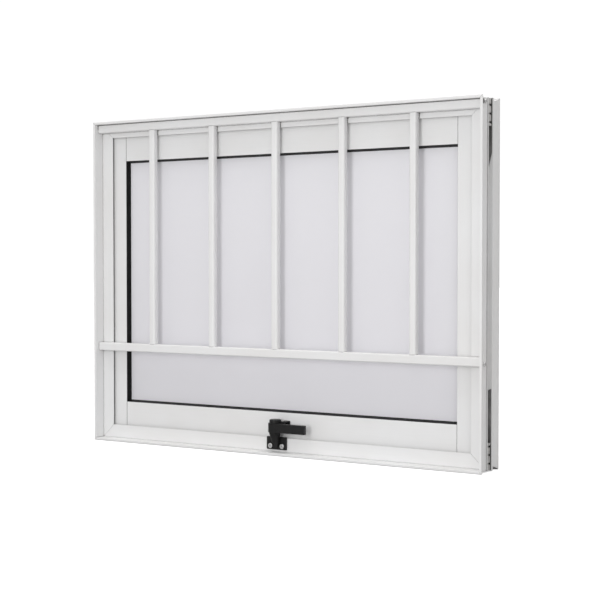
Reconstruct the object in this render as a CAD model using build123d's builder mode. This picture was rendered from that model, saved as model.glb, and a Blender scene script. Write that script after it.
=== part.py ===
"""Top-hung projecting window with a fixed security grille on its room side.

Millimetres.  +X runs across the window, +Z is up and the room is on the -Y side.  The origin is the
centre of the frame's foot print.  A "depth" is measured from the room-side face of the frame towards
the outside.  Two kinds of section are drawn: for the frame, "in" is measured from the frame's outer
edge towards the middle of the window, and for the glazing, from the wall of the glass rebate.
"""
from build123d import *
import os

os.makedirs("parts", exist_ok=True)

# ---------------------------------------------------------------- overall sizes
WIDTH = 800.0
HEIGHT = 600.0
DEPTH = 68.0
ROOM_Y = -DEPTH / 2
WALL = 1.5
HOLE_PLAY = 0.1

# frame section
LIP_WIDTH = 4.5
LIP_THICK = 1.8
FLANGE_REACH = 29.0
FLANGE_DEPTH = 22.5
WEB_REACH = 11.0
FRONT_LEG = (2.0, 27.0)
REAR_LEG = (1.0, 41.5)
REAR_LEG_HOOK = 5.0
REAR_FLANGE_DEPTH = 66.0
TROUGH_DIP = 5.0
TROUGH_MIDDLE = 56.5
TROUGH_EDGE = 1.0
MITRE_GAP = 0.2

# sash
SASH_WIDTH = 754.0
SASH_HEIGHT = 554.0
SASH_FACE = 29.0
SASH_THICK = 25.0
SASH_WALL = 1.4
STILE_BOX = 25.0
STILE_STEP = 0.7
RAIL_BOX = 42.0
FIN_REACH = 8.0
JOINT_GAP = 0.8

# glazing, depths inside the sash
GLASS_DEPTH = 10.0
GLASS_THICK = 4.0
GLASS_EDGE_GAP = 2.0
BEAD_DEPTH = 16.0

# grille
RAIL_TALL = 15.0
RAIL_DEEP = 13.0
RAIL_WALL = 1.2
RAIL_CORNER = 2.0
GRILLE_DEPTH = 15.9
TOP_RAIL_Z = 587.9
LOW_RAIL_Z = 177.5
RAIL_END_PLAY = 0.2
BAR_WIDE = 12.8
BAR_DEEP = 12.4
BAR_CORNER = 3.4
BAR_WALL = 1.2
BAR_PITCH = 135.0
BAR_SHIFT = 1.4
BAR_COUNT = 5
PORT_RADIUS = 2.9
PORT_OFFSET = 3.2
GRILLE_SCREW_R = 1.75

# friction stays, distances out from the middle of the window
STAY_DEPTH = 41.0
STAY_LINK = 125.0
STAY_TOP_Z = 573.0
STRAP_WIDTH = 14.0
PLATE_OUT = SASH_WIDTH / 2
PLATE_THICK = 2.0
ARM_OUT = 380.0
ARM_THICK = 2.5
TRACK_OUT = WIDTH / 2 - WEB_REACH
TRACK_WIDTH = 16.0
TRACK_BASE = 1.5
TRACK_EDGE = 383.8
TRACK_LIP = 1.2
TRACK_LOW_Z = 305.0
TRACK_TOP_Z = 587.5
PIN_RADIUS = 3.0
PIN_PLAY = 0.05
OPEN_PIVOT_PLAY = 0.3
SHOE_LENGTH = 26.0

# latch
LATCH_PIVOT = (1.5, 14.0)
HUB_RADIUS = 12.5
HUB_LOW_Z = 40.2
HUB_TOP_Z = 55.7
ARM_END_X = 68.0
ARM_LOW_Z = 40.2
ARM_DEEP = 7.0
CLAW_LOW_Z = 42.0
CLAW_TOP_Z = 52.0
CLAW_INNER = 20.0
CLAW_OUTER = 23.5
CLAW_FROM_ANGLE = -22.0
CLAW_TO_ANGLE = 28.0
TOOTH_GAP = 1.2
CAP_RADIUS = 10.5
CAP_HEIGHT = 6.4

HALF_W = WIDTH / 2
MID_Z = HEIGHT / 2
SASH_LOW_Z = MID_Z - SASH_HEIGHT / 2
REBATE_HALF_W = SASH_WIDTH / 2 - STILE_BOX
REBATE_HALF_H = SASH_HEIGHT / 2 - RAIL_BOX
STAY_SASH_Z = STAY_TOP_Z - STAY_LINK
STAY_FRAME_Z = STAY_TOP_Z - 2 * STAY_LINK


# ---------------------------------------------------------------- planes and small helpers
def at_depth(depth):
    """Y of a point that lies this deep behind the room face."""
    return ROOM_Y + depth


def room_plane(depth):
    """Plane parallel to the window, seen from the room: its X is +X and its Y is +Z."""
    return Plane(origin=(0, at_depth(depth), 0), x_dir=(1, 0, 0), z_dir=(0, -1, 0))


def side_plane(side, half_width, half_height):
    """Cross-section plane of one side of a rectangle centred on the window.

    Its X points from that side towards the middle of the window, and its Y is the depth.
    """
    places = {
        "top": ((0, ROOM_Y, MID_Z + half_height), (0, 0, -1), (1, 0, 0)),
        "bottom": ((0, ROOM_Y, MID_Z - half_height), (0, 0, 1), (-1, 0, 0)),
        "left": ((-half_width, ROOM_Y, MID_Z), (1, 0, 0), (0, 0, 1)),
        "right": ((half_width, ROOM_Y, MID_Z), (-1, 0, 0), (0, 0, -1)),
    }
    origin, inwards, along = places[side]
    return Plane(origin=origin, x_dir=inwards, z_dir=along)


def half_length(side, half_width, half_height):
    return half_width if side in ("top", "bottom") else half_height


def wall(in_from, in_to, depth_from, depth_to, mode=Mode.ADD):
    """One straight wall of a section, given by its four limits."""
    with Locations(((in_from + in_to) / 2, (depth_from + depth_to) / 2)):
        Rectangle(in_to - in_from, depth_to - depth_from, mode=mode)


def mitre(plane, reach):
    """Cut both ends of a side at 45 degrees, longest along its outer edge, where it ends at the reach."""
    for end in (-1, 1):
        corner = plane.from_local_coords((0, 0, end * reach))
        kept = plane.from_local_coords((-1, 0, -end)) - plane.origin
        split(bisect_by=Plane(origin=corner, z_dir=kept), keep=Keep.TOP)


def outlined(*points):
    """Face from a closed outline of straight lines."""
    with BuildLine() as outline:
        Polyline(*points, close=True)
    make_face(outline.edges())


def looking(origin, direction):
    """Location whose Z points along a direction, for placing screws and pins."""
    return Plane(origin=origin, z_dir=direction).location


def finish(part, label):
    """Name one finished piece and write it."""
    part.label = label
    export_step(part, f"parts/{label}.step")


# ---------------------------------------------------------------- screws, head outwards along +Z
STANDING = (Align.CENTER, Align.CENTER, Align.MIN)
SUNK = (Align.CENTER, Align.CENTER, Align.MAX)
HEAD_ROUNDING = 0.45
RECESS_REACH = 0.5
RECESS_DEEP = 0.6
RECESS_SLIM = 0.45


def pan_screw(head_radius, head_height, shank_radius, shank_length):
    with BuildPart() as screw:
        domed_head(head_radius, head_height)
        Cylinder(shank_radius, shank_length, align=SUNK)
        cross_recess(head_height, head_radius * RECESS_REACH, head_height * RECESS_DEEP)
    return screw.part


def socket_screw(head_radius, head_height, shank_radius, shank_length, socket_radius):
    """Domed screw with a deep hexagon socket."""
    with BuildPart() as screw:
        domed_head(head_radius, head_height)
        Cylinder(shank_radius, shank_length, align=SUNK)
        with BuildSketch(Plane.XY.offset(head_height)) as socket:
            RegularPolygon(socket_radius, 6)
        extrude(socket.sketch, amount=-head_height, mode=Mode.SUBTRACT)
    return screw.part


def domed_head(radius, height):
    with BuildPart(mode=Mode.PRIVATE) as head:
        Cylinder(radius, height, align=STANDING)
        fillet(head.edges().group_by(Axis.Z)[-1], height * HEAD_ROUNDING)
    add(head.part)


def flat_screw(head_radius, head_height, shank_radius, shank_length):
    with BuildPart() as screw:
        Cone(shank_radius, head_radius, head_height, align=SUNK)
        Cylinder(shank_radius, shank_length, align=SUNK)
        cross_recess(0, head_radius * RECESS_REACH, head_height * RECESS_DEEP)
    return screw.part


def cross_recess(top, reach, deep):
    """Four-armed driver recess sunk from a head's top."""
    with BuildSketch(Plane.XY.offset(top)) as cross:
        Rectangle(2 * reach, reach * RECESS_SLIM)
        Rectangle(reach * RECESS_SLIM, 2 * reach)
    extrude(cross.sketch, amount=-deep, mode=Mode.SUBTRACT)


def screw_set(screw, places):
    """Several identical screws as separate solids of one piece."""
    with BuildPart() as group:
        with Locations(*places):
            add(screw)
    return group.part


# ---------------------------------------------------------------- frame
GRILLE_SCREW_Z = (TOP_RAIL_Z + PORT_OFFSET, LOW_RAIL_Z - PORT_OFFSET)
TRACK_SCREW_Z = (350.0, 440.0, 540.0)
LATCH_SCREW_X = 12.0
LATCH_SCREW_Z = 14.8
LATCH_SCREW_R = 2.0
TRACK_SCREW_R = 1.7
JAMB_SLOT_DEEP = 3.8
JAMB_SLOT_TALL = 7.7
JAMB_SLOT_DEPTH = 10.1
JAMB_SLOT_Z = 590.9
OUTER_ROUNDING = 0.6
INNER_ROUNDING = 0.5


def frame_member(side):
    plane = side_plane(side, HALF_W, MID_Z)
    reach = half_length(side, HALF_W, MID_Z)
    with BuildPart() as member:
        with BuildSketch(plane) as section:
            wall(0, LIP_WIDTH, 0, LIP_THICK)
            wall(LIP_WIDTH - WALL, LIP_WIDTH, 0, FLANGE_DEPTH + WALL)
            wall(LIP_WIDTH - WALL, FLANGE_REACH, FLANGE_DEPTH, FLANGE_DEPTH + WALL)
            wall(WEB_REACH - WALL, WEB_REACH, FLANGE_DEPTH, DEPTH)
            wall(FRONT_LEG[0], WEB_REACH, FRONT_LEG[1], FRONT_LEG[1] + WALL)
            wall(REAR_LEG[0], WEB_REACH, REAR_LEG[1], REAR_LEG[1] + WALL)
            wall(REAR_LEG[0], REAR_LEG[0] + WALL, REAR_LEG[1], REAR_LEG[1] + REAR_LEG_HOOK)
            wall(0, WEB_REACH, REAR_FLANGE_DEPTH, DEPTH)
            trough_wall()
            fillet(section.vertices().group_by(Axis.Y)[0], OUTER_ROUNDING)
            fillet(section.vertices().group_by(Axis.Y)[-1], OUTER_ROUNDING)
            fillet(section.vertices().group_by(Axis.X)[-1], INNER_ROUNDING)
        extrude(amount=reach, both=True)
        mitre(plane, reach - MITRE_GAP)
        if side in ("left", "right"):
            jamb_holes(-1 if side == "left" else 1)
        if side == "bottom":
            with Locations(*latch_screw_places(FLANGE_DEPTH)):
                Hole(LATCH_SCREW_R + HOLE_PLAY, depth=2 * WALL)
    return member.part


def trough_wall():
    """Shallow hollow curve between the rear leg and the rear flange."""
    start, end = REAR_LEG[1] + REAR_LEG_HOOK - TROUGH_EDGE, DEPTH - TROUGH_EDGE
    with BuildLine() as outline:
        outer = ThreePointArc((REAR_LEG[0], start), (TROUGH_DIP, TROUGH_MIDDLE), (0, end))
        inner = ThreePointArc(
            (REAR_LEG[0] + WALL, start), (TROUGH_DIP + WALL, TROUGH_MIDDLE), (WALL, end)
        )
        Line(outer @ 0, inner @ 0)
        Line(outer @ 1, inner @ 1)
    make_face(outline.edges())


def jamb_holes(sign):
    """Holes for the grille's end screws and the stay's screws, and the punched slot near the top."""
    outside = HALF_W - LIP_WIDTH + WALL
    with Locations(*grille_screw_places(sign, outside)):
        Hole(GRILLE_SCREW_R + HOLE_PLAY, depth=2 * WALL)
    with Locations(*track_screw_places(sign, TRACK_OUT - TRACK_BASE)):
        Hole(TRACK_SCREW_R + HOLE_PLAY, depth=3 * WALL)
    with Locations((sign * outside, at_depth(JAMB_SLOT_DEPTH), JAMB_SLOT_Z)):
        Box(4 * WALL, JAMB_SLOT_DEEP, JAMB_SLOT_TALL, mode=Mode.SUBTRACT)


def grille_screw_places(sign, out):
    depth = at_depth(GRILLE_DEPTH)
    return [looking((sign * out, depth, z), (sign, 0, 0)) for z in GRILLE_SCREW_Z]


def track_screw_places(sign, out):
    depth = at_depth(STAY_DEPTH)
    return [looking((sign * out, depth, z), (-sign, 0, 0)) for z in TRACK_SCREW_Z]


def latch_screw_places(depth):
    y = at_depth(depth)
    return [looking((x, y, LATCH_SCREW_Z), (0, -1, 0)) for x in (-LATCH_SCREW_X, LATCH_SCREW_X)]


finish(frame_member("top"), "frame_head")
finish(frame_member("bottom"), "frame_sill")
finish(frame_member("left"), "frame_jamb_left")
finish(frame_member("right"), "frame_jamb_right")

# corner cleats in the outer groove: angles with cross grooves and a foot at each end
CLEAT_IN = (2.6, 8.5)
CLEAT_DEPTH = (28.8, 38.6)
CLEAT_LENGTH = 46.0
CLEAT_FOOT = 3.0
CLEAT_FOOT_DEPTH = 40.0
CLEAT_GROOVE = 3.2
CLEAT_GROOVES_AT = (12.8, 26.6, 40.4)

with BuildPart() as cleat:
    outer_x, inner_x, end_x = HALF_W - CLEAT_IN[0], HALF_W - CLEAT_IN[1], HALF_W - CLEAT_LENGTH
    outer_z, inner_z, end_z = HEIGHT - CLEAT_IN[0], HEIGHT - CLEAT_IN[1], HEIGHT - CLEAT_LENGTH
    foot_x, foot_z = end_x + CLEAT_FOOT, end_z + CLEAT_FOOT
    with BuildSketch(room_plane(CLEAT_DEPTH[0])):
        outlined(
            (outer_x, outer_z), (end_x, outer_z), (end_x, inner_z),
            (inner_x, inner_z), (inner_x, end_z), (outer_x, end_z),
        )
    extrude(amount=CLEAT_DEPTH[0] - CLEAT_DEPTH[1])
    with BuildSketch(room_plane(CLEAT_DEPTH[1])):
        outlined((inner_x, end_z), (outer_x, end_z), (outer_x, foot_z), (inner_x, foot_z))
        outlined((end_x, inner_z), (end_x, outer_z), (foot_x, outer_z), (foot_x, inner_z))
    extrude(amount=CLEAT_DEPTH[1] - CLEAT_FOOT_DEPTH)
    with BuildSketch(room_plane(CLEAT_DEPTH[0])):
        for along in CLEAT_GROOVES_AT:
            with Locations((outer_x, HEIGHT - along), (HALF_W - along, outer_z)):
                Rectangle(CLEAT_GROOVE, CLEAT_GROOVE, rotation=45)
    extrude(amount=CLEAT_DEPTH[0] - CLEAT_DEPTH[1], mode=Mode.SUBTRACT)

MID_HEIGHT_PLANE = Plane.XY.offset(MID_Z)
cleat_left = mirror(cleat.part, about=Plane.YZ)
finish(cleat.part, "corner_cleat_top_right")
finish(cleat_left, "corner_cleat_top_left")
finish(mirror(cleat.part, about=MID_HEIGHT_PLANE), "corner_cleat_bottom_right")
finish(mirror(cleat_left, about=MID_HEIGHT_PLANE), "corner_cleat_bottom_left")

# flat corner plates that lie on the rear leg, behind the cleats
PLATE_IN = (2.2, 9.3)
PLATE_DEPTH = (40.2, 41.4)
PLATE_ARM = 122.0
UPPER_ARMS = (88.0, 116.0)
LOWER_ARMS = (133.0, 129.0)


def corner_plate(outer_arm, inner_arm):
    """Plate of the top right corner; its upright arm has one length at its outer edge, one at its inner."""
    outer_x, inner_x, end_x = HALF_W - PLATE_IN[0], HALF_W - PLATE_IN[1], HALF_W - PLATE_ARM
    outer_z, inner_z = HEIGHT - PLATE_IN[0], HEIGHT - PLATE_IN[1]
    with BuildPart() as corner:
        with BuildSketch(room_plane(PLATE_DEPTH[0])):
            outlined(
                (outer_x, outer_z), (end_x, outer_z), (end_x, inner_z), (inner_x, inner_z),
                (inner_x, HEIGHT - inner_arm), (outer_x, HEIGHT - outer_arm),
            )
        extrude(amount=PLATE_DEPTH[0] - PLATE_DEPTH[1])
    return corner.part


upper_plate = corner_plate(*UPPER_ARMS)
lower_plate = mirror(corner_plate(*LOWER_ARMS), about=MID_HEIGHT_PLANE)
with BuildPart() as corner_plates:
    for corner in (upper_plate, lower_plate):
        add(corner)
        add(mirror(corner, about=Plane.YZ, mode=Mode.PRIVATE))
finish(corner_plates.part, "corner_plates")

# weatherstrip bulbs on the back of the front flange
STRIP_IN = (23.3, 27.5)
STRIP_BASE = 1.2
STRIP_BULB = 1.5
STRIP_BULB_MIDDLE = 2.0


def weatherstrip(side):
    plane = side_plane(side, HALF_W, MID_Z)
    reach = half_length(side, HALF_W, MID_Z)
    back = FLANGE_DEPTH + WALL
    with BuildPart() as strip:
        with BuildSketch(plane):
            wall(*STRIP_IN, back, back + STRIP_BASE)
            with Locations(((STRIP_IN[0] + STRIP_IN[1]) / 2, back + STRIP_BULB_MIDDLE)):
                Circle(STRIP_BULB)
        extrude(amount=reach, both=True)
        mitre(plane, reach)
    return strip.part


SIDES = ("top", "bottom", "left", "right")
for side in SIDES:
    finish(weatherstrip(side), f"weatherstrip_{side}")

# ---------------------------------------------------------------- grille
RAIL_HALF = HALF_W - LIP_WIDTH - RAIL_END_PLAY
BAR_SCREW_HEAD_R = 3.2
BAR_SCREW_HEAD = 1.8
BAR_SCREW_R = 1.65
BAR_SCREW_GRIP = 14.0
END_SCREW_HEAD_R = 3.6
END_SCREW_HEAD = 2.2
END_SCREW_LENGTH = 20.0
BAR_X = [BAR_SHIFT + BAR_PITCH * (number - (BAR_COUNT - 1) / 2) for number in range(BAR_COUNT)]


def grille_rail(middle_z, port_sign):
    """Hollow rail with a screw port on the side away from the bars."""
    port_z = middle_z + port_sign * PORT_OFFSET
    inner_wall_z = middle_z - port_sign * RAIL_TALL / 2
    y = at_depth(GRILLE_DEPTH)
    with BuildPart() as rail:
        with BuildSketch(Plane.YZ):
            with Locations((y, middle_z)):
                RectangleRounded(RAIL_DEEP, RAIL_TALL, RAIL_CORNER)
                RectangleRounded(
                    RAIL_DEEP - 2 * RAIL_WALL, RAIL_TALL - 2 * RAIL_WALL, RAIL_CORNER / 2, mode=Mode.SUBTRACT
                )
            with Locations((y, port_z)):
                Circle(PORT_RADIUS)
            with Locations((y, middle_z + port_sign * (PORT_OFFSET + RAIL_TALL / 2 - RAIL_WALL / 2) / 2)):
                Rectangle(2 * RAIL_WALL, RAIL_TALL / 2 - RAIL_WALL / 2 - PORT_OFFSET)
            with Locations((y, port_z)):
                Circle(GRILLE_SCREW_R, mode=Mode.SUBTRACT)
        extrude(amount=RAIL_HALF, both=True)
        with Locations(*[looking((x, y, inner_wall_z), (0, 0, -port_sign)) for x in BAR_X]):
            Hole(BAR_SCREW_R + HOLE_PLAY, depth=1.5 * RAIL_WALL)
    return rail.part


finish(grille_rail(TOP_RAIL_Z, 1), "grille_top_rail")
finish(grille_rail(LOW_RAIL_Z, -1), "grille_bottom_rail")

BAR_LOW_Z = LOW_RAIL_Z + RAIL_TALL / 2
BAR_TOP_Z = TOP_RAIL_Z - RAIL_TALL / 2


def grille_bar(x):
    """Square tube with rounded corners and a screw port along its middle, held by one web."""
    with BuildPart() as bar:
        with BuildSketch(Plane.XY.offset(BAR_LOW_Z)):
            with Locations((x, at_depth(GRILLE_DEPTH))):
                RectangleRounded(BAR_WIDE, BAR_DEEP, BAR_CORNER)
                RectangleRounded(
                    BAR_WIDE - 2 * BAR_WALL, BAR_DEEP - 2 * BAR_WALL, BAR_CORNER - BAR_WALL,
                    mode=Mode.SUBTRACT,
                )
                Circle(PORT_RADIUS)
                Rectangle(BAR_WIDE - BAR_WALL, BAR_WALL)
                Circle(BAR_SCREW_R, mode=Mode.SUBTRACT)
        extrude(amount=BAR_TOP_Z - BAR_LOW_Z)
    return bar.part


for number, x in enumerate(BAR_X, start=1):
    finish(grille_bar(x), f"grille_bar_{number}")

bar_screw = pan_screw(BAR_SCREW_HEAD_R, BAR_SCREW_HEAD, BAR_SCREW_R, BAR_SCREW_GRIP)
bar_screw_places = []
for x in BAR_X:
    bar_y = at_depth(GRILLE_DEPTH)
    bar_screw_places.append(looking((x, bar_y, BAR_LOW_Z - RAIL_WALL), (0, 0, -1)))
    bar_screw_places.append(looking((x, bar_y, BAR_TOP_Z + RAIL_WALL), (0, 0, 1)))
finish(screw_set(bar_screw, bar_screw_places), "grille_bar_screws")

end_screw = pan_screw(END_SCREW_HEAD_R, END_SCREW_HEAD, GRILLE_SCREW_R, END_SCREW_LENGTH)
end_screw_out = HALF_W - LIP_WIDTH + WALL
end_screw_places = grille_screw_places(-1, end_screw_out) + grille_screw_places(1, end_screw_out)
finish(screw_set(end_screw, end_screw_places), "grille_end_screws")

# ---------------------------------------------------------------- sash
CORNER_SCREW_R = 1.9
CORNER_SCREW_HEAD_R = 3.8
CORNER_SCREW_HEAD = 1.9
CORNER_SCREW_LENGTH = 42.0
CORNER_SCREW_IN = (10.0, 32.0)
PLATE_SCREW_R = 1.7
PLATE_SCREW_HEAD_R = 3.2
PLATE_SCREW_HEAD = 1.5
PLATE_SCREW_LENGTH = 9.0
PLATE_SCREW_Z = (552.0, 510.0, 469.0)
PLATE_TAIL = 11.0
KEEPER_SCREW_X = (13.6, 20.2)
KEEPER_SCREW_Z = 47.5
KEEPER_SCREW_R = 1.4


def box_walls(reach, depth):
    """Hollow box against the outer edge of a sash member."""
    wall(0, reach, 0, SASH_WALL)
    wall(0, reach, depth - SASH_WALL, depth)
    wall(0, SASH_WALL, 0, depth)
    wall(reach - SASH_WALL, reach, 0, depth)


def sash_plane(side):
    plane = side_plane(side, SASH_WIDTH / 2, SASH_HEIGHT / 2)
    return Plane(origin=plane.origin + Vector(0, SASH_FACE, 0), x_dir=plane.x_dir, z_dir=plane.z_dir)


def corner_screw_z():
    """Heights of the corner screws, two at each end of a stile."""
    low = [SASH_LOW_Z + place for place in CORNER_SCREW_IN]
    return low + [SASH_LOW_Z + SASH_HEIGHT - place for place in CORNER_SCREW_IN]


def corner_screw_places(sign):
    y = at_depth(SASH_FACE + SASH_THICK / 2)
    return [looking((sign * PLATE_OUT, y, z), (sign, 0, 0)) for z in corner_screw_z()]


def plate_screw_places(sign, out):
    return [looking((sign * out, at_depth(STAY_DEPTH), z), (sign, 0, 0)) for z in PLATE_SCREW_Z]


def sash_stile(side):
    sign = -1 if side == "left" else 1
    with BuildPart() as stile:
        with BuildSketch(sash_plane(side)) as section:
            box_walls(STILE_BOX, SASH_THICK)
            wall(0, STILE_BOX + FIN_REACH, -STILE_STEP, WALL)
            fillet(section.vertices().group_by(Axis.Y)[0], INNER_ROUNDING)
        extrude(amount=SASH_HEIGHT / 2, both=True)
        with Locations(*corner_screw_places(sign)):
            CounterSinkHole(
                CORNER_SCREW_R + HOLE_PLAY, CORNER_SCREW_HEAD_R + HOLE_PLAY, depth=STILE_BOX + WALL
            )
        with Locations(*plate_screw_places(sign, PLATE_OUT)):
            Hole(PLATE_SCREW_R + HOLE_PLAY, depth=2 * WALL)
    return stile.part


def sash_rail(side):
    """Hollow rail with two screw ports; its front wall stops at the stiles' fins."""
    plane = sash_plane(side)
    middle = SASH_THICK / 2
    with BuildPart() as rail:
        with BuildSketch(plane):
            box_walls(RAIL_BOX, SASH_THICK)
            wall(0, RAIL_BOX, middle - SASH_WALL / 2, middle + SASH_WALL / 2)
            with Locations(*[(place, middle) for place in CORNER_SCREW_IN]):
                Circle(PORT_RADIUS)
                Circle(CORNER_SCREW_R, mode=Mode.SUBTRACT)
            wall(0, RAIL_BOX, 0, WALL, mode=Mode.SUBTRACT)
        extrude(amount=REBATE_HALF_W, both=True)
        with BuildSketch(plane) as face:
            wall(0, RAIL_BOX + FIN_REACH, 0, WALL)
            fillet(face.vertices().group_by(Axis.Y)[0], INNER_ROUNDING)
        extrude(amount=REBATE_HALF_W - FIN_REACH - JOINT_GAP, both=True)
        if side == "bottom":
            with Locations(*keeper_screw_places(SASH_FACE)):
                Hole(KEEPER_SCREW_R + HOLE_PLAY, depth=2 * WALL)
    return rail.part


def keeper_screw_places(depth):
    y = at_depth(depth)
    return [looking((x, y, KEEPER_SCREW_Z), (0, -1, 0)) for x in KEEPER_SCREW_X]


finish(sash_rail("top"), "sash_top_rail")
finish(sash_rail("bottom"), "sash_bottom_rail")
finish(sash_stile("left"), "sash_stile_left")
finish(sash_stile("right"), "sash_stile_right")

corner_screw = flat_screw(CORNER_SCREW_HEAD_R, CORNER_SCREW_HEAD, CORNER_SCREW_R, CORNER_SCREW_LENGTH)
finish(screw_set(corner_screw, corner_screw_places(-1) + corner_screw_places(1)), "sash_corner_screws")

# ---------------------------------------------------------------- glazing
GLASS_HALF_W = REBATE_HALF_W - GLASS_EDGE_GAP
GLASS_HALF_H = REBATE_HALF_H - GLASS_EDGE_GAP
BLOCK_LENGTH = 60.0
BLOCK_X = 230.0
BLOCK_DEEP = 5.0
BLOCK_Y = at_depth(SASH_FACE + GLASS_DEPTH + GLASS_THICK / 2)
BLOCK_Z = MID_Z - REBATE_HALF_H + GLASS_EDGE_GAP / 2

with BuildPart() as glass:
    with BuildSketch(room_plane(SASH_FACE + GLASS_DEPTH)):
        with Locations((0, MID_Z)):
            Rectangle(2 * GLASS_HALF_W, 2 * GLASS_HALF_H)
    extrude(amount=-GLASS_THICK)
finish(glass.part, "glass_pane")

with BuildPart() as blocks:
    with Locations((-BLOCK_X, BLOCK_Y, BLOCK_Z), (BLOCK_X, BLOCK_Y, BLOCK_Z)):
        Box(BLOCK_LENGTH, BLOCK_DEEP, GLASS_EDGE_GAP)
finish(blocks.part, "setting_blocks")


def glazing_strip(side, outline):
    """Mitred strip along one side of the glass rebate."""
    edge = side_plane(side, REBATE_HALF_W, REBATE_HALF_H)
    plane = Plane(origin=edge.origin + Vector(0, SASH_FACE, 0), x_dir=edge.x_dir, z_dir=edge.z_dir)
    reach = half_length(side, REBATE_HALF_W, REBATE_HALF_H)
    with BuildPart() as strip:
        with BuildSketch(plane):
            outlined(*outline)
        extrude(amount=reach, both=True)
        mitre(plane, reach)
    return strip.part


GLASS_BACK = GLASS_DEPTH + GLASS_THICK
GASKET_FOOT = 2.4
GASKET_FRONT = 0.5
GASKET_REACH = 11.6
BACK_GASKET_REACH = (9.6, 8.4)
BEAD_REACH = 8.2
BEAD_SLOPE = (17.5, 5.5)
BEAD_END = SASH_THICK - 1.2
BEAD_CLIP = 21.0
BEAD_WALL = 1.3
WEDGE_GASKET = [
    (GASKET_FOOT, WALL), (FIN_REACH, WALL), (FIN_REACH, GASKET_FRONT),
    (GASKET_REACH, GLASS_DEPTH), (GASKET_FOOT, GLASS_DEPTH),
]
BACK_GASKET = [
    (GASKET_FOOT, GLASS_BACK), (BACK_GASKET_REACH[0], GLASS_BACK),
    (BACK_GASKET_REACH[1], BEAD_DEPTH), (GASKET_FOOT, BEAD_DEPTH),
]
BEAD = [
    (0, BEAD_DEPTH), (BEAD_REACH, BEAD_DEPTH), (BEAD_REACH, BEAD_SLOPE[0]), (BEAD_SLOPE[1], BEAD_END),
    (BEAD_SLOPE[1] - BEAD_WALL, SASH_THICK), (0, SASH_THICK), (0, SASH_THICK - BEAD_WALL),
    (BEAD_SLOPE[1] - 1.5 * BEAD_WALL, SASH_THICK - BEAD_WALL),
    (BEAD_REACH - 1.5 * BEAD_WALL, BEAD_DEPTH + BEAD_WALL),
    (BEAD_WALL, BEAD_DEPTH + BEAD_WALL), (BEAD_WALL, BEAD_CLIP), (0, BEAD_CLIP),
]
for side in SIDES:
    finish(glazing_strip(side, WEDGE_GASKET), f"wedge_gasket_{side}")
    finish(glazing_strip(side, BACK_GASKET), f"back_gasket_{side}")
    finish(glazing_strip(side, BEAD), f"glazing_bead_{side}")

# ---------------------------------------------------------------- friction stays, right side then mirrored
TRACK_SIDE = 1.0
TRACK_GAP = TRACK_WIDTH / 2 - TRACK_SIDE
SHOE_PLAY = 0.2
SHOE_BACK = TRACK_OUT - TRACK_BASE - SHOE_PLAY
SHOE_FRONT = TRACK_EDGE + TRACK_LIP + SHOE_PLAY
SHOE_CORNER = 1.5
PIN_HEAD_R = 4.5
PIN_COLLAR_R = 5.0
PIN_TAIL_R = 2.5
TAIL_HOLE_R = 2.0
PIN_HEAD_THICK = 0.8
WASHER_PLAY = 0.2


def stay_plane(out):
    """Plane at a distance from the window's middle: its X is +Y and its Y is +Z."""
    return Plane(origin=(out, at_depth(STAY_DEPTH), 0), x_dir=(0, 1, 0), z_dir=(1, 0, 0))


def strap(out, thick, low_z, top_z, holes):
    """Flat strap with round ends and pivot holes, each given by its height and radius."""
    with BuildPart() as link:
        with BuildSketch(stay_plane(out)):
            with Locations((0, (low_z + top_z) / 2)):
                SlotCenterToCenter(top_z - low_z, STRAP_WIDTH, rotation=90)
            for hole_z, hole_radius in holes:
                with Locations((0, hole_z)):
                    Circle(hole_radius, mode=Mode.SUBTRACT)
        extrude(amount=thick)
    return link.part


with BuildPart() as track:
    with BuildSketch(Plane.XY.offset(TRACK_LOW_Z)):
        with Locations((0, at_depth(STAY_DEPTH))):
            with Locations((TRACK_OUT - TRACK_BASE / 2, 0)):
                Rectangle(TRACK_BASE, TRACK_WIDTH)
            for way in (-1, 1):
                with Locations(((TRACK_EDGE + TRACK_OUT) / 2, way * (TRACK_GAP + TRACK_SIDE / 2))):
                    Rectangle(TRACK_OUT - TRACK_EDGE, TRACK_SIDE)
                with Locations((TRACK_EDGE + TRACK_SIDE / 2, way * (TRACK_GAP - TRACK_LIP / 2))):
                    Rectangle(TRACK_SIDE, TRACK_LIP)
    extrude(amount=TRACK_TOP_Z - TRACK_LOW_Z)
    with Locations(*track_screw_places(1, TRACK_OUT - TRACK_BASE)):
        CounterSinkHole(TRACK_SCREW_R + HOLE_PLAY, PLATE_SCREW_HEAD_R + HOLE_PLAY, depth=2 * WALL)
    with Locations(looking((TRACK_OUT - TRACK_BASE, at_depth(STAY_DEPTH), STAY_FRAME_Z), (-1, 0, 0))):
        Hole(TAIL_HOLE_R, depth=2 * WALL)

ARM_HOLES = (STAY_FRAME_Z, STAY_SASH_Z)
arm_left_side = strap(ARM_OUT, ARM_THICK, *ARM_HOLES, [(z, PIN_RADIUS + PIN_PLAY) for z in ARM_HOLES])
arm_right_side = strap(
    ARM_OUT, ARM_THICK, *ARM_HOLES,
    [(STAY_FRAME_Z, PIN_RADIUS + PIN_PLAY), (STAY_SASH_Z, PIN_RADIUS + OPEN_PIVOT_PLAY)],
)

with BuildPart() as plate:
    plate_holes = [(STAY_SASH_Z, PIN_TAIL_R), (STAY_TOP_Z, PIN_TAIL_R)]
    add(strap(PLATE_OUT, PLATE_THICK, STAY_SASH_Z - PLATE_TAIL, STAY_TOP_Z, plate_holes))
    with Locations(*plate_screw_places(1, PLATE_OUT + PLATE_THICK)):
        CounterSinkHole(PLATE_SCREW_R + HOLE_PLAY, PLATE_SCREW_HEAD_R + HOLE_PLAY, depth=2 * WALL)

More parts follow.
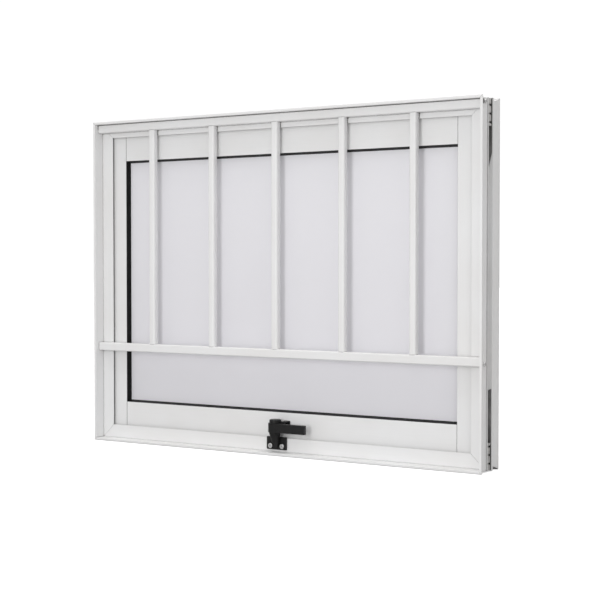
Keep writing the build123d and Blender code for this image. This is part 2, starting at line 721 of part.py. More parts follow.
with BuildPart() as shoe:
    with BuildSketch(stay_plane(SHOE_FRONT)):
        with Locations((0, STAY_TOP_Z)):
            RectangleRounded(2 * (TRACK_GAP - SHOE_PLAY), SHOE_LENGTH, SHOE_CORNER)
    extrude(amount=SHOE_BACK - SHOE_FRONT)
    with BuildSketch(stay_plane(SHOE_FRONT)):
        with Locations((0, STAY_TOP_Z)):
            RectangleRounded(2 * (TRACK_GAP - TRACK_LIP - 2 * SHOE_PLAY), SHOE_LENGTH, SHOE_CORNER)
    extrude(amount=-TRACK_LIP)
    with BuildSketch(stay_plane(TRACK_EDGE)):
        with Locations((0, STAY_TOP_Z)):
            Circle(PIN_RADIUS + PIN_PLAY)
    extrude(amount=TRACK_OUT - TRACK_EDGE, mode=Mode.SUBTRACT)


def turned_pin(height, *steps):
    """Pin across the window made of round steps, each (from, to, radius) outwards."""
    with BuildPart() as pin:
        for start, end, radius in steps:
            with BuildSketch(stay_plane(start)):
                with Locations((0, height)):
                    Circle(radius)
            extrude(amount=end - start)
    return pin.part


ARM_FACE = ARM_OUT + ARM_THICK
PLATE_FACE = PLATE_OUT + PLATE_THICK
frame_pin = turned_pin(
    STAY_FRAME_Z,
    (ARM_OUT - WASHER_PLAY - PIN_HEAD_THICK, ARM_OUT - WASHER_PLAY, PIN_HEAD_R),
    (ARM_OUT - WASHER_PLAY, ARM_FACE + WASHER_PLAY, PIN_RADIUS),
    (ARM_FACE + WASHER_PLAY, TRACK_OUT - TRACK_BASE, PIN_COLLAR_R),
    (TRACK_OUT - TRACK_BASE, TRACK_OUT, TAIL_HOLE_R),
)
sash_pin = turned_pin(
    STAY_SASH_Z,
    (PLATE_OUT, PLATE_FACE, PIN_TAIL_R),
    (PLATE_FACE, ARM_OUT - WASHER_PLAY, PIN_COLLAR_R),
    (ARM_OUT - WASHER_PLAY, ARM_FACE + WASHER_PLAY, PIN_RADIUS),
    (ARM_FACE + WASHER_PLAY, TRACK_EDGE - 2 * WASHER_PLAY, PIN_HEAD_R),
)
shoe_pin = turned_pin(
    STAY_TOP_Z,
    (PLATE_OUT, PLATE_FACE, PIN_TAIL_R),
    (PLATE_FACE, TRACK_EDGE - WASHER_PLAY, PIN_COLLAR_R),
    (TRACK_EDGE - WASHER_PLAY, SHOE_BACK - WASHER_PLAY, PIN_RADIUS),
)


def both_sides(*pieces):
    """The right-hand pieces and their left-hand twins, joined in one piece."""
    with BuildPart() as pair:
        for piece in pieces:
            add(piece)
            add(mirror(piece, about=Plane.YZ, mode=Mode.PRIVATE))
    return pair.part


finish(track.part, "stay_track_right")
finish(mirror(track.part, about=Plane.YZ), "stay_track_left")
finish(plate.part, "stay_plate_right")
finish(mirror(plate.part, about=Plane.YZ), "stay_plate_left")
finish(shoe.part, "stay_shoe_right")
finish(mirror(shoe.part, about=Plane.YZ), "stay_shoe_left")
finish(arm_right_side, "stay_arm_right")
finish(mirror(arm_left_side, about=Plane.YZ), "stay_arm_left")
finish(both_sides(frame_pin), "stay_frame_pins")
finish(both_sides(sash_pin, shoe_pin), "stay_sash_pins")

plate_screw = flat_screw(PLATE_SCREW_HEAD_R, PLATE_SCREW_HEAD, PLATE_SCREW_R, PLATE_SCREW_LENGTH)
plate_places = plate_screw_places(-1, PLATE_FACE) + plate_screw_places(1, PLATE_FACE)
finish(screw_set(plate_screw, plate_places), "stay_plate_screws")
track_face = TRACK_OUT - TRACK_BASE
track_screw_length = TRACK_BASE + WALL
track_screw = flat_screw(PLATE_SCREW_HEAD_R, PLATE_SCREW_HEAD, TRACK_SCREW_R, track_screw_length)
track_places = track_screw_places(-1, track_face) + track_screw_places(1, track_face)
finish(screw_set(track_screw, track_places), "stay_track_screws")

# ---------------------------------------------------------------- latch
PIVOT_X, PIVOT_DEPTH = LATCH_PIVOT
PIVOT_Y = at_depth(PIVOT_DEPTH)
BASE_WIDE = 41.0
BASE_Z = (8.4, 30.8)
BASE_THICK = 3.0
BASE_CORNER = 1.5
BASE_CHAMFER = 0.6
NECK_FOOT = (9.0, 4.0)
NECK_FOOT_Z = 12.0
NECK_FOOT_CORNER = 1.4
NECK_TOP = (19.0, 15.6)
NECK_TOP_CORNER = 5.0
NECK_SINK = 0.3
HUB_PLAY = 0.2
LATCH_SCREW_HEAD_R = 4.3
LATCH_SCREW_HEAD = 2.2
LATCH_SCREW_LENGTH = 8.0
LATCH_SOCKET_R = 2.1
LATCH_PIN_R = 3.0
LATCH_PIN_LOW_Z = 29.0
CAP_ROUNDING = 1.6

with BuildPart() as base:
    with BuildSketch(room_plane(FLANGE_DEPTH)):
        with Locations((0, (BASE_Z[0] + BASE_Z[1]) / 2)):
            RectangleRounded(BASE_WIDE, BASE_Z[1] - BASE_Z[0], BASE_CORNER)
    extrude(amount=BASE_THICK)
    chamfer(base.faces().sort_by(Axis.Y)[0].edges(), BASE_CHAMFER)
    neck_back_y = at_depth(FLANGE_DEPTH - BASE_THICK + NECK_SINK)
    with BuildSketch(Plane.XY.offset(NECK_FOOT_Z)):
        with Locations((0, neck_back_y - NECK_FOOT[1] / 2)):
            RectangleRounded(*NECK_FOOT, NECK_FOOT_CORNER)
    with BuildSketch(Plane.XY.offset(HUB_LOW_Z - HUB_PLAY)):
        with Locations((PIVOT_X, neck_back_y - NECK_TOP[1] / 2)):
            RectangleRounded(*NECK_TOP, NECK_TOP_CORNER)
    loft()
    with Locations(*latch_screw_places(FLANGE_DEPTH - BASE_THICK)):
        Hole(LATCH_SCREW_R + HOLE_PLAY, depth=2 * BASE_THICK)
    with Locations((PIVOT_X, PIVOT_Y, LATCH_PIN_LOW_Z)):
        Cylinder(LATCH_PIN_R, HUB_LOW_Z, align=STANDING, mode=Mode.SUBTRACT)
finish(base.part, "latch_base")

latch_screw = socket_screw(
    LATCH_SCREW_HEAD_R, LATCH_SCREW_HEAD, LATCH_SCREW_R, LATCH_SCREW_LENGTH, LATCH_SOCKET_R
)
finish(screw_set(latch_screw, latch_screw_places(FLANGE_DEPTH - BASE_THICK)), "latch_screws")

with BuildPart() as latch_pin:
    with Locations((PIVOT_X, PIVOT_Y, LATCH_PIN_LOW_Z)):
        Cylinder(LATCH_PIN_R, HUB_TOP_Z - HUB_PLAY - LATCH_PIN_LOW_Z, align=STANDING)
finish(latch_pin.part, "latch_pivot_pin")

ARM_FRONT_Y = PIVOT_Y - HUB_RADIUS
with BuildPart() as lever:
    with BuildSketch(Plane.XY.offset(HUB_LOW_Z)):
        with Locations((PIVOT_X, PIVOT_Y)):
            Circle(HUB_RADIUS)
    extrude(amount=HUB_TOP_Z - HUB_LOW_Z)
    with BuildSketch(Plane.XY.offset(ARM_LOW_Z)):
        with Locations(((PIVOT_X + ARM_END_X) / 2, ARM_FRONT_Y + ARM_DEEP / 2)):
            Rectangle(ARM_END_X - PIVOT_X, ARM_DEEP)
    extrude(amount=HUB_TOP_Z - ARM_LOW_Z)
    with BuildSketch(Plane.XY.offset(CLAW_LOW_Z)):
        with BuildLine():
            CenterArc(
                (PIVOT_X, PIVOT_Y), (CLAW_INNER + CLAW_OUTER) / 2,
                CLAW_FROM_ANGLE, CLAW_TO_ANGLE - CLAW_FROM_ANGLE,
            )
        trace(line_width=CLAW_OUTER - CLAW_INNER)
    extrude(amount=CLAW_TOP_Z - CLAW_LOW_Z)
    with Locations((PIVOT_X, PIVOT_Y, HUB_LOW_Z)):
        Cylinder(LATCH_PIN_R + PIN_PLAY, HUB_TOP_Z - HUB_LOW_Z, align=STANDING, mode=Mode.SUBTRACT)
finish(lever.part, "latch_lever")

with BuildPart() as cap:
    with Locations((PIVOT_X, PIVOT_Y, HUB_TOP_Z)):
        Cylinder(CAP_RADIUS, CAP_HEIGHT, align=STANDING)
    fillet(cap.edges().group_by(Axis.Z)[-1], CAP_ROUNDING)
finish(cap.part, "latch_cap")

KEEPER_X = (10.8, 22.9)
KEEPER_Z = (43.0, 59.2)
KEEPER_THICK = 2.2
KEEPER_CORNER = 1.0
KEEPER_FINGER_X = 12.8
KEEPER_FINGER_LOW_Z = 57.0
KEEPER_FINGER_REACH = 15.0
KEEPER_SCREW_HEAD_R = 2.5
KEEPER_SCREW_HEAD = 1.1
KEEPER_SCREW_LENGTH = 8.0
TOOTH = (4.0, 6.0)
TOOTH_X = 17.7
with BuildPart() as keeper:
    with BuildSketch(room_plane(SASH_FACE)):
        with Locations(((KEEPER_X[0] + KEEPER_X[1]) / 2, (KEEPER_Z[0] + KEEPER_Z[1]) / 2)):
            RectangleRounded(KEEPER_X[1] - KEEPER_X[0], KEEPER_Z[1] - KEEPER_Z[0], KEEPER_CORNER)
    extrude(amount=KEEPER_THICK)
    with BuildSketch(room_plane(SASH_FACE)):
        with Locations(((KEEPER_FINGER_X + KEEPER_X[1]) / 2, (KEEPER_FINGER_LOW_Z + KEEPER_Z[1]) / 2)):
            RectangleRounded(
                KEEPER_X[1] - KEEPER_FINGER_X, KEEPER_Z[1] - KEEPER_FINGER_LOW_Z, KEEPER_CORNER
            )
    extrude(amount=KEEPER_FINGER_REACH)
    with BuildSketch(Plane.XY.offset(CLAW_TOP_Z + TOOTH_GAP)):
        with Locations((TOOTH_X, PIVOT_Y + TOOTH[1] / 2)):
            Rectangle(*TOOTH)
    extrude(amount=KEEPER_FINGER_LOW_Z + KEEPER_CORNER - CLAW_TOP_Z - TOOTH_GAP)
    with Locations(*keeper_screw_places(SASH_FACE - KEEPER_THICK)):
        CounterSinkHole(KEEPER_SCREW_R + HOLE_PLAY, KEEPER_SCREW_HEAD_R + HOLE_PLAY, depth=2 * KEEPER_THICK)
finish(keeper.part, "latch_keeper")

keeper_screw = flat_screw(KEEPER_SCREW_HEAD_R, KEEPER_SCREW_HEAD, KEEPER_SCREW_R, KEEPER_SCREW_LENGTH)
finish(screw_set(keeper_screw, keeper_screw_places(SASH_FACE - KEEPER_THICK)), "keeper_screws")
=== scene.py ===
"""Looks for a top-hung window with a fixed security grille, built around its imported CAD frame."""

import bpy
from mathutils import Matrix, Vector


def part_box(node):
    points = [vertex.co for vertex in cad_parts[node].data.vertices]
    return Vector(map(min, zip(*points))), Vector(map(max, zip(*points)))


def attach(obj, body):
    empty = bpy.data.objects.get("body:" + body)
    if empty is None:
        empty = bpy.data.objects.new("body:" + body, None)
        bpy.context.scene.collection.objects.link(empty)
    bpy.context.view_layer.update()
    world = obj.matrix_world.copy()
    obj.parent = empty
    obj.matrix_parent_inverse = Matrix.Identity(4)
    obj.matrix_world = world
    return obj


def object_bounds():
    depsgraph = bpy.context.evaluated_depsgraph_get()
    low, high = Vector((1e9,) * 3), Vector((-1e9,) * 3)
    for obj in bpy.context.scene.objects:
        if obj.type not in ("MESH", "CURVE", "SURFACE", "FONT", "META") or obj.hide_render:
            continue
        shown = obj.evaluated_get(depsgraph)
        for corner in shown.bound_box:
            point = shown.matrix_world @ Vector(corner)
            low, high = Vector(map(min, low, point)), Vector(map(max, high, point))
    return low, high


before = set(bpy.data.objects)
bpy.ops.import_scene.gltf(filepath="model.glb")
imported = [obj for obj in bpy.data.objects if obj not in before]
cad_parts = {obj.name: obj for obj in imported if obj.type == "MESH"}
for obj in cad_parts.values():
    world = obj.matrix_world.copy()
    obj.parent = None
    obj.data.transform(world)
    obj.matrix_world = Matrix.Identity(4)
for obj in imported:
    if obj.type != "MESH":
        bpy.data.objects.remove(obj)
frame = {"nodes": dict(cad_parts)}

import fnmatch
import math

import bmesh
import bpy
from mathutils import Vector

CAD_LOW, CAD_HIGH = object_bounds()
NODES = frame["nodes"]
MM = 0.001

# ---------------------------------------------------------------- camera, floor and light
CAMERA_PLACE = (1.282, -1.977, 0.334)
CAMERA_TURN = math.radians(32.14)
CAMERA_DIP = math.radians(1.55)
CAMERA_LENS = 80.5
FLOOR_SIZE = 30.0
FLOOR_CELLS = 8
FLOOR_DROP = 0.2 * MM
FLOOR_BOUNCE = 0.40
FLOOR_LIFT = 0.5
FILL_TILT = (0.17, -0.10, 0.05)
FILL_LEVEL = 0.60
BACKDROP_LEVEL = 1.3
KEY_PLACE = (0.22, -1.75, 0.40)
KEY_SIZE = (0.5, 0.9)
KEY_WATTS = 10.0
TOP_HEIGHT = 2.0
TOP_STRENGTH = 1.7
TOP_SPREAD = math.radians(60.0)
TOP_COLOUR = (1.0, 0.965, 0.945)


def make_camera():
    data = bpy.data.cameras.new("camera")
    data.lens = CAMERA_LENS
    camera = bpy.data.objects.new("camera", data)
    camera.location = CAMERA_PLACE
    camera.rotation_euler = (math.pi / 2 - CAMERA_DIP, 0, CAMERA_TURN)
    bpy.context.scene.collection.objects.link(camera)
    bpy.context.scene.camera = camera


def make_floor(material):
    mesh = bpy.data.meshes.new("floor")
    shape = bmesh.new()
    bmesh.ops.create_grid(
        shape, x_segments=FLOOR_CELLS, y_segments=FLOOR_CELLS, size=FLOOR_SIZE / 2
    )
    shape.to_mesh(mesh)
    shape.free()
    floor = bpy.data.objects.new("floor", mesh)
    floor.location.z = CAD_LOW.z - FLOOR_DROP
    floor.data.materials.append(material)
    bpy.context.scene.collection.objects.link(floor)


# ---------------------------------------------------------------- shader building
EDGE_SAMPLES = 4
CREVICE_SAMPLES = 4
EDGE_FLAT = 0.995
EDGE_SHARP = 0.85


class Shader:
    """A material's node tree with short calls for the nodes that this script needs."""

    def __init__(self, name):
        self.material = bpy.data.materials.new(name)
        self.material.use_nodes = True
        self.tree = self.material.node_tree
        self.surface = self.tree.nodes["Principled BSDF"]
        self.places = self.node("ShaderNodeTexCoord").outputs["Object"]

    def node(self, kind, **settings):
        made = self.tree.nodes.new(kind)
        for setting, value in settings.items():
            setattr(made, setting, value)
        return made

    def feed(self, socket, value):
        if isinstance(value, bpy.types.NodeSocket):
            self.tree.links.new(value, socket)
        else:
            socket.default_value = value

    def set(self, **values):
        """Fixed values on the surface's own sockets, underscores standing for spaces."""
        for name, value in values.items():
            self.surface.inputs[name.replace("_", " ")].default_value = value

    def stretched(self, scale):
        mapping = self.node("ShaderNodeMapping")
        self.feed(mapping.inputs["Vector"], self.places)
        self.feed(mapping.inputs["Scale"], scale)
        return mapping.outputs["Vector"]

    def noise(self, scale, detail=2.0, roughness=0.5, places=None):
        made = self.node("ShaderNodeTexNoise")
        self.feed(made.inputs["Vector"], places or self.places)
        self.feed(made.inputs["Scale"], scale)
        self.feed(made.inputs["Detail"], detail)
        self.feed(made.inputs["Roughness"], roughness)
        return made.outputs["Fac"]

    def cells(self, scale, feature="F1"):
        made = self.node("ShaderNodeTexVoronoi", feature=feature)
        self.feed(made.inputs["Vector"], self.places)
        self.feed(made.inputs["Scale"], scale)
        return made.outputs["Distance"]

    def span(self, value, low, high, out_low=0.0, out_high=1.0):
        """Value remapped from low..high to out_low..out_high and clamped."""
        made = self.node("ShaderNodeMapRange")
        for socket, number in zip(made.inputs[:5], (value, low, high, out_low, out_high)):
            self.feed(socket, number)
        return made.outputs["Result"]

    def math(self, operation, first, second):
        made = self.node("ShaderNodeMath", operation=operation)
        self.feed(made.inputs[0], first)
        self.feed(made.inputs[1], second)
        return made.outputs[0]

    def mix(self, factor, first, second):
        """Colour that runs from the first at factor 0 to the second at factor 1."""
        made = self.node("ShaderNodeMix", data_type="RGBA")
        sockets = {socket.identifier: socket for socket in (*made.inputs, *made.outputs)}
        self.feed(sockets["Factor_Float"], factor)
        self.feed(sockets["A_Color"], first)
        self.feed(sockets["B_Color"], second)
        return sockets["Result_Color"]

    def bump(self, painted_light_height, distance, strength, normal=None):
        made = self.node("ShaderNodeBump")
        self.feed(made.inputs["Height"], painted_light_height)
        self.feed(made.inputs["Distance"], distance)
        self.feed(made.inputs["Strength"], strength)
        if normal is not None:
            self.feed(made.inputs["Normal"], normal)
        return made.outputs["Normal"]

    def soft_edges(self, radius):
        made = self.node("ShaderNodeBevel", samples=EDGE_SAMPLES)
        self.feed(made.inputs["Radius"], radius)
        return made.outputs["Normal"]

    def edge_mask(self, rounded):
        """How far the rounded normal leans away from the face's own, 0 on flats to 1 on edges."""
        flat = self.node("ShaderNodeNewGeometry").outputs["Normal"]
        made = self.node("ShaderNodeVectorMath", operation="DOT_PRODUCT")
        self.feed(made.inputs[0], flat)
        self.feed(made.inputs[1], rounded)
        return self.span(made.outputs["Value"], EDGE_FLAT, EDGE_SHARP)

    def crevices(self, reach):
        """How open a place is within reach: 1 on a free face, 0 deep in a corner."""
        made = self.node("ShaderNodeAmbientOcclusion", samples=CREVICE_SAMPLES)
        self.feed(made.inputs["Distance"], reach)
        return made.outputs["AO"]

    def colour(self, value):
        self.feed(self.surface.inputs["Base Color"], value)

    def rough(self, value):
        self.feed(self.surface.inputs["Roughness"], value)

    def normal(self, value):
        self.feed(self.surface.inputs["Normal"], value)


def grey(value, warm=0.0):
    """Neutral colour, a little warmer for a positive warm and cooler for a negative one."""
    return (value * (1 + warm), value, value * (1 - warm), 1.0)


# ---------------------------------------------------------------- materials
DRAWN_OUT = 0.03
ALONG = {"x": (DRAWN_OUT, 1.0, 1.0), "z": (1.0, 1.0, DRAWN_OUT)}
SAWN_ACROSS = (1.0, 0.08, 1.0)
MIDDLE = (0.3, 0.7)
DUST_AND_SHADE = (0.52, 0.49, 0.46, 1.0)
SWARF = (0.16, 0.10, 0.07, 1.0)
GLASS_SHADED_LOW = (0.84, 0.833, 0.87, 1.0)
GLASS_LIT_HIGH = (0.93, 0.925, 0.96, 1.0)
DUST_AND_SHADE_REACH = 9 * MM
JOINT_REACH = 3.5 * MM
CLEAT_REACH = 4 * MM
RECESS_REACH = 2.5 * MM
PLATE_REACH = 12 * MM
COAT_ROUNDING = 0.5 * MM
PLASTIC_ROUNDING = 0.9 * MM
CLEAT_ROUNDING = 0.4 * MM
STEEL_ROUNDING = 0.3 * MM
NYLON_ROUNDING = 0.4 * MM
PLATE_ROUNDING = 0.2 * MM
FINE_GRAIN = 0.02 * MM
GRAIN = 0.03 * MM
COARSE_GRAIN = 0.05 * MM
SAW_GRAIN = 0.06 * MM
NYLON_GLOW = (0.002, 0.002, 0.002)


def powder_coat(along):
    """Satin white powder coat on an extrusion: orange peel, die lines, edge wear with a painted
    highlight, dust blotches with painted shade in the corners, and painted shade in the joints and
    gaps.
    """
    s = Shader(f"powder_coat_{along}")
    drift = s.noise(scale=7.0, detail=3.0)
    lines = s.noise(scale=900.0, detail=1.0, places=s.stretched(ALONG[along]))
    white = s.mix(s.span(drift, low=0.35, high=0.65), grey(0.800, 0.004), grey(0.835, -0.004))
    white = s.mix(s.span(lines, low=0.40, high=0.75, out_high=0.10), white, grey(0.72))
    # dust blotches and painted shade: the colour is pulled towards a brownish grey in corners and
    # recesses within reach
    corner_shade = s.span(s.crevices(DUST_AND_SHADE_REACH), low=0.75, high=0.15)
    clumps = s.span(s.noise(scale=160.0, detail=4.0), low=0.35, high=0.7)
    dust_and_shade = s.math("MULTIPLY", corner_shade, clumps)
    white = s.mix(s.math("MULTIPLY", dust_and_shade, 0.35), white, DUST_AND_SHADE)
    rounded = s.soft_edges(COAT_ROUNDING)
    # edge wear and painted highlight: the paint is painted paler along the edges, in patches
    patches = s.span(s.noise(scale=240.0, detail=3.0), low=0.45, high=0.75)
    rub_and_highlight = s.math("MULTIPLY", s.edge_mask(rounded), patches)
    white = s.mix(s.math("MULTIPLY", rub_and_highlight, 0.5), white, grey(0.88))
    shade = s.span(s.crevices(JOINT_REACH), low=0.22, high=0.66, out_low=0.9, out_high=0.0)
    s.colour(s.mix(shade, white, grey(0.10, 0.02)))
    s.rough(s.span(s.noise(scale=420.0, detail=3.0), *MIDDLE, out_low=0.34, out_high=0.46))
    peel = s.bump(s.noise(scale=1500.0), GRAIN, strength=0.35, normal=rounded)
    s.normal(s.bump(lines, FINE_GRAIN, strength=0.25, normal=peel))
    s.set(Specular_IOR_Level=0.45, Coat_Weight=0.12, Coat_Roughness=0.25)
    return s.material


def black_rubber():
    """Extruded seal: mottled black, a dusty bloom and a dull sheen."""
    s = Shader("black_rubber")
    bloom = s.span(s.noise(scale=110.0, detail=4.0), low=0.45, high=0.8)
    s.colour(s.mix(s.math("MULTIPLY", bloom, 0.35), grey(0.003), grey(0.014)))
    s.rough(s.span(s.noise(scale=600.0, detail=3.0), *MIDDLE, out_low=0.42, out_high=0.62))
    s.normal(s.bump(s.noise(scale=1800.0), GRAIN, strength=0.5))
    s.set(Specular_IOR_Level=0.2)
    return s.material


def black_plastic():
    """Moulded latch: spark-eroded grain, polished and paler on handled edges."""
    s = Shader("black_plastic")
    rounded = s.soft_edges(PLASTIC_ROUNDING)
    edge = s.edge_mask(rounded)
    mottle = s.span(s.noise(scale=60.0, detail=3.0), low=0.35, high=0.7)
    patches = s.span(s.noise(scale=180.0, detail=3.0), low=0.35, high=0.7, out_low=0.2, out_high=0.8)
    worn = s.math("MULTIPLY", edge, patches)
    s.colour(s.mix(worn, s.mix(mottle, grey(0.004), grey(0.008)), grey(0.022)))
    grain = s.noise(scale=2600.0)
    dull = s.span(grain, *MIDDLE, out_low=0.40, out_high=0.54)
    s.rough(s.math("SUBTRACT", dull, s.math("MULTIPLY", edge, 0.08)))
    s.normal(s.bump(grain, COARSE_GRAIN, strength=0.4, normal=rounded))
    s.set(Specular_IOR_Level=0.35)
    return s.material


def mill_aluminium():
    """Bare sawn cleat: saw marks, oxide bloom, specks of swarf, and painted shade going near black
    in its grooves and corners.
    """
    s = Shader("mill_aluminium")
    saw = s.noise(scale=1400.0, places=s.stretched(SAWN_ACROSS))
    bloom = s.span(s.noise(scale=130.0, detail=5.0, roughness=0.6), low=0.35, high=0.7)
    metal = s.mix(bloom, grey(0.66, 0.01), grey(0.40, 0.03))
    # painted shade: the metal is painted near black where it is closed in, in the cross-grooves and
    # corners
    metal = s.mix(s.span(s.crevices(CLEAT_REACH), low=0.25, high=0.75), grey(0.08, 0.03), metal)
    specks = s.span(s.cells(scale=420.0), low=0.16, high=0.10)
    drifts = s.span(s.noise(scale=90.0), low=0.5, high=0.62)
    s.colour(s.mix(s.math("MULTIPLY", specks, drifts), metal, SWARF))
    s.rough(s.span(saw, *MIDDLE, out_low=0.32, out_high=0.58))
    s.normal(s.bump(saw, SAW_GRAIN, strength=0.6, normal=s.soft_edges(CLEAT_ROUNDING)))
    s.set(Metallic=0.85)
    return s.material


def brushed_steel(name, along, tone, warm):
    """Stainless or plated steel with brushing along one direction, handling marks, and painted shade
    near black deep in recesses such as screw sockets.
    """
    s = Shader(name)
    brush = s.noise(scale=2200.0, places=s.stretched(ALONG[along]))
    marks = s.noise(scale=75.0, detail=4.0)
    steel = s.mix(s.span(marks, *MIDDLE), grey(tone, warm), grey(tone * 0.82, warm))
    # painted shade: the steel is painted near black deep in recesses, such as screw sockets
    s.colour(s.mix(s.span(s.crevices(RECESS_REACH), low=0.20, high=0.55), grey(0.02), steel))
    polish = s.span(brush, *MIDDLE, out_low=0.20, out_high=0.36)
    s.rough(s.math("ADD", polish, s.span(marks, low=0.4, high=0.8, out_high=0.10)))
    s.normal(s.bump(brush, FINE_GRAIN, strength=0.5, normal=s.soft_edges(STEEL_ROUNDING)))
    s.set(Metallic=1.0)
    return s.material


def nylon():
    """Natural nylon shoe or setting block: waxy, faintly mottled."""
    s = Shader("nylon")
    s.colour(s.mix(s.noise(scale=90.0, detail=3.0), grey(0.74, 0.02), grey(0.64, 0.03)))
    s.rough(s.span(s.noise(scale=700.0), *MIDDLE, out_low=0.38, out_high=0.52))
    rounded = s.soft_edges(NYLON_ROUNDING)
    s.normal(s.bump(s.noise(scale=1300.0), GRAIN, strength=0.4, normal=rounded))
    s.set(Subsurface_Weight=0.15, Subsurface_Radius=NYLON_GLOW)
    return s.material


def obscured_glass():
    """Etched pane: violet grey with a fine pebble and faint clouding, with painted light making it
    paler towards the top and darker towards the bottom.
    """
    s = Shader("obscured_glass")
    cloud = s.noise(scale=5.0, detail=4.0, roughness=0.55)
    cloud = s.span(cloud, *MIDDLE, out_low=-0.06, out_high=0.06)
    split = s.node("ShaderNodeSeparateXYZ")
    s.feed(split.inputs[0], s.places)
    pane_low, pane_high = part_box("glass_pane")
    # painted light: the pane is paler towards the top and darker towards the bottom, with random
    # clouding added
    painted_light_height = s.math("ADD", s.span(split.outputs["Z"], pane_low.z, pane_high.z), cloud)
    s.colour(s.mix(painted_light_height, GLASS_SHADED_LOW, GLASS_LIT_HIGH))
    s.rough(s.span(s.noise(scale=300.0, detail=3.0), *MIDDLE, out_low=0.36, out_high=0.48))
    s.normal(s.bump(s.cells(scale=420.0, feature="SMOOTH_F1"), COARSE_GRAIN, strength=0.3))
    s.set(Transmission_Weight=0.15, IOR=1.5, Specular_IOR_Level=0.35)
    return s.material


def blackened_steel():
    """Thin corner plates: dark with rubbed grey patches, painted shade going near black where they
    lie deep in the corner, sheen along the roll direction.
    """
    s = Shader("blackened_steel")
    roll = s.noise(scale=1500.0, places=s.stretched(ALONG["z"]))
    rubbed = s.span(s.noise(scale=38.0, detail=4.0), low=0.40, high=0.72)
    steel = s.mix(rubbed, grey(0.17, 0.01), grey(0.30, 0.01))
    # painted shade: the plate is painted near black where it is closed in, towards the inner corner
    # of the groove
    s.colour(s.mix(s.span(s.crevices(PLATE_REACH), low=0.20, high=0.62), grey(0.008), steel))
    s.rough(s.span(roll, *MIDDLE, out_low=0.36, out_high=0.55))
    s.normal(s.bump(roll, GRAIN, strength=0.5, normal=s.soft_edges(PLATE_ROUNDING)))
    s.set(Metallic=0.6)
    return s.material


def pale_floor():
    """White floor, lifted for the camera only, so that it throws little light up at the window."""
    s = Shader("pale_floor")
    seen = s.node("ShaderNodeLightPath").outputs["Is Camera Ray"]
    white = s.mix(s.noise(scale=3.0, detail=3.0), grey(0.93), grey(0.95))
    s.colour(s.mix(seen, grey(FLOOR_BOUNCE), white))
    s.rough(0.9)
    s.set(Specular_IOR_Level=0.1, Emission_Color=(1.0, 1.0, 1.0, 1.0))
    s.feed(s.surface.inputs["Emission Strength"], s.math("MULTIPLY", seen, FLOOR_LIFT))
    return s.material


def studio_world():
    """White surround as the camera sees it; as light it is a soft fill, brightest from the front."""
    world = bpy.data.worlds.new("studio")
    bpy.context.scene.world = world
    world.use_nodes = True
    tree = world.node_tree
    fill = tree.nodes["Background"]
    fill.inputs["Color"].default_value = (1.0, 1.0, 1.0, 1.0)
    tilt = tree.nodes.new("ShaderNodeVectorMath")
    tilt.operation = "DOT_PRODUCT"
    tree.links.new(tree.nodes.new("ShaderNodeTexCoord").outputs["Generated"], tilt.inputs[0])
    tilt.inputs[1].default_value = FILL_TILT
    level = tree.nodes.new("ShaderNodeMath")
    level.inputs[1].default_value = FILL_LEVEL
    tree.links.new(tilt.outputs["Value"], level.inputs[0])
    tree.links.new(level.outputs[0], fill.inputs["Strength"])
    backdrop = tree.nodes.new("ShaderNodeBackground")
    backdrop.inputs["Strength"].default_value = BACKDROP_LEVEL
    choose = tree.nodes.new("ShaderNodeMixShader")
    tree.links.new(tree.nodes.new("ShaderNodeLightPath").outputs["Is Camera Ray"], choose.inputs[0])
    tree.links.new(fill.outputs[0], choose.inputs[1])
    tree.links.new(backdrop.outputs[0], choose.inputs[2])
    tree.links.new(choose.outputs[0], tree.nodes["World Output"].inputs["Surface"])


def hang_lamp(light, place):
    """Put a light at a place, turned towards the middle of the window."""
    lamp = bpy.data.objects.new(light.name, light)
    lamp.location = place
    lamp.rotation_mode = "QUATERNION"
    lamp.rotation_quaternion = ((CAD_LOW + CAD_HIGH) / 2 - place).to_track_quat("-Z", "Y")
    bpy.context.scene.collection.objects.link(lamp)


def studio_lights():
    """A softbox on the room side, and a broad even light from straight above."""
    key = bpy.data.lights.new("key", "AREA")
    key.shape = "RECTANGLE"
    key.size, key.size_y = KEY_SIZE
    key.energy = KEY_WATTS
    hang_lamp(key, Vector(KEY_PLACE))
    top = bpy.data.lights.new("top", "SUN")
    top.energy = TOP_STRENGTH
    top.color = TOP_COLOUR
    top.angle = TOP_SPREAD
    hang_lamp(top, Vector((0, 0, CAD_HIGH.z + TOP_HEIGHT)))


# ---------------------------------------------------------------- putting the looks on the CAD nodes
def dress(material, *patterns):
    """Assign a material to the CAD nodes whose names match; a star stands for anything."""
    for pattern in patterns:
        for name in fnmatch.filter(NODES, pattern):
            for slot in NODES[name].material_slots:
                slot.material = material


# ---------------------------------------------------------------- small pieces beside the CAD
WALL_INSET = 3.0 * MM
WALL_THICK = 1.5 * MM
SLOT_SIZE = Vector((0, 3.8, 7.7)) * MM
SLOT_PLACE = Vector((0, -23.9, 590.9)) * MM
SHADE_BLOCK_RECESS = 0.25 * MM
SHADE_BLOCK_ROUNDING = 0.25 * MM
SHADE_BLOCK_PLAY = 0.06 * MM
ROUNDING_STEPS = 3
ROUNDING_PROFILE = 0.5


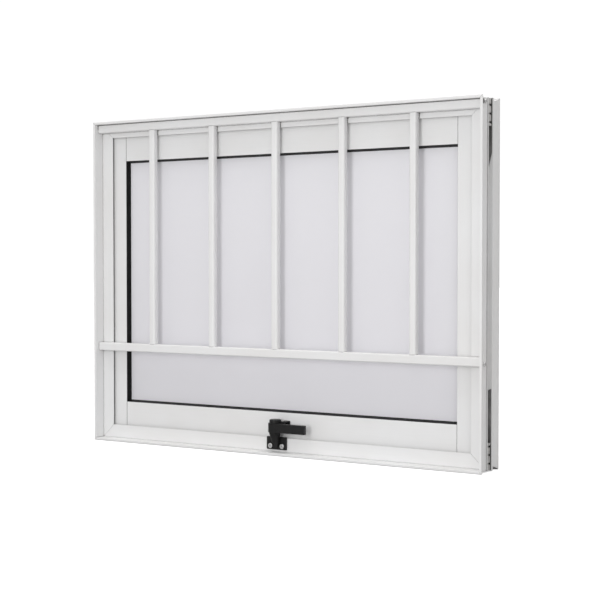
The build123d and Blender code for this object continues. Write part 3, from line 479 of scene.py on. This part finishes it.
def block(name, low, high, rounding, material):
    """Cuboid with rounded edges, riding on the frame."""
    shape = bmesh.new()
    bmesh.ops.create_cube(shape, size=1.0)
    for vertex in shape.verts:
        for axis in range(3):
            vertex.co[axis] *= high[axis] - low[axis]
    bmesh.ops.bevel(
        shape, geom=shape.edges[:], offset=rounding, segments=ROUNDING_STEPS,
        profile=ROUNDING_PROFILE, affect="EDGES",
    )
    mesh = bpy.data.meshes.new(name)
    shape.to_mesh(mesh)
    shape.free()
    mesh.materials.append(material)
    piece = bpy.data.objects.new(name, mesh)
    piece.location = (Vector(low) + Vector(high)) / 2
    bpy.context.scene.collection.objects.link(piece)
    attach(piece, "frame")


def slot_shade_blocks(material):
    """Black blocks set in the punched slots of the jambs, a little below the outer face of the wall:
    painted shade where the slots show the shaded hollow behind.
    """
    half = SLOT_SIZE / 2 - Vector((0, SHADE_BLOCK_PLAY, SHADE_BLOCK_PLAY))
    for name, jamb in (("left", "frame_jamb_left"), ("right", "frame_jamb_right")):
        low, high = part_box(jamb)
        outer = high.x - WALL_INSET if name == "right" else low.x + WALL_INSET
        inwards = -1 if name == "right" else 1
        ends = sorted((outer + inwards * SHADE_BLOCK_RECESS, outer + inwards * WALL_THICK))
        near, far = SLOT_PLACE - half, SLOT_PLACE + half
        near.x, far.x = ends
        block(f"slot_shade_{name}", near, far, SHADE_BLOCK_ROUNDING, material)


bpy.context.scene.view_settings.view_transform = "Standard"
make_camera()
make_floor(pale_floor())
studio_world()
studio_lights()

dress(
    powder_coat("x"), "frame_head", "frame_sill", "*_rail", "glazing_bead_top", "glazing_bead_bottom"
)
dress(
    powder_coat("z"), "frame_jamb_*", "sash_stile_*", "glazing_bead_left", "glazing_bead_right",
    "grille_bar_?",
)
dress(black_rubber(), "weatherstrip_*", "*_gasket_*")
latch_black_and_slot_shade = black_plastic()
dress(latch_black_and_slot_shade, "latch_base", "latch_lever", "latch_cap", "latch_keeper")
# painted shade: black blocks fill the jamb slots, where the hollow behind lies in shade; the latch
# keeps the same black plastic
slot_shade_blocks(latch_black_and_slot_shade)
dress(mill_aluminium(), "corner_cleat_*")
dress(blackened_steel(), "corner_plates")
dress(
    brushed_steel("stay_steel", "z", tone=0.60, warm=0.01),
    "stay_track_*", "stay_plate_*", "stay_arm_*", "stay_*_pins",
)
dress(brushed_steel("plated_steel", "x", tone=0.86, warm=0.0), "*_screws", "latch_pivot_pin")
dress(nylon(), "stay_shoe_*", "setting_blocks")
dress(obscured_glass(), "glass_pane")
